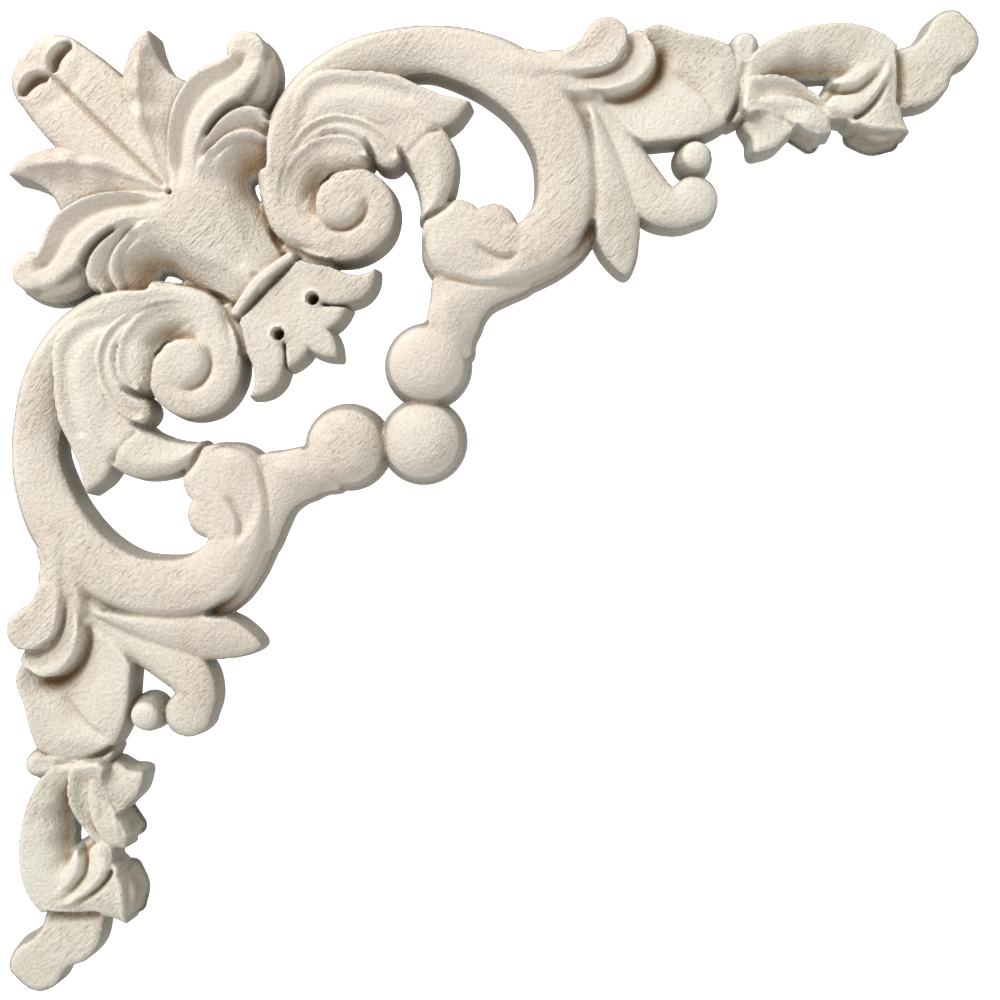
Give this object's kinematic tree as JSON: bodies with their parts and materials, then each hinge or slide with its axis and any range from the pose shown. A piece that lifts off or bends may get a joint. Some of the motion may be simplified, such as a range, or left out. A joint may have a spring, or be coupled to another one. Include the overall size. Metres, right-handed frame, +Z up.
{
  "type": "carved corner onlay",
  "caption": "Carved wooden corner onlay: a palmette at the corner, pierced C-scrolls, acanthus leaves and bead drops on equal arms, flat back for gluing.",
  "frame": {"origin": "on the flat back, on the diagonal that mirrors the two arms, behind the palmette's neck", "axes": "+X along the top arm away from the corner, +Z up along the side arm towards the corner, +Y out of the flat back, so the carving faces -Y"},
  "size_m": [0.1999, 0.0106, 0.2],
  "materials": {
    "wood": "pale bare hardwood, sanded smooth, fine short pores"
  },
  "bodies": {
    "root": {"corner_onlay": "wood"}
  },
  "joints": []
}
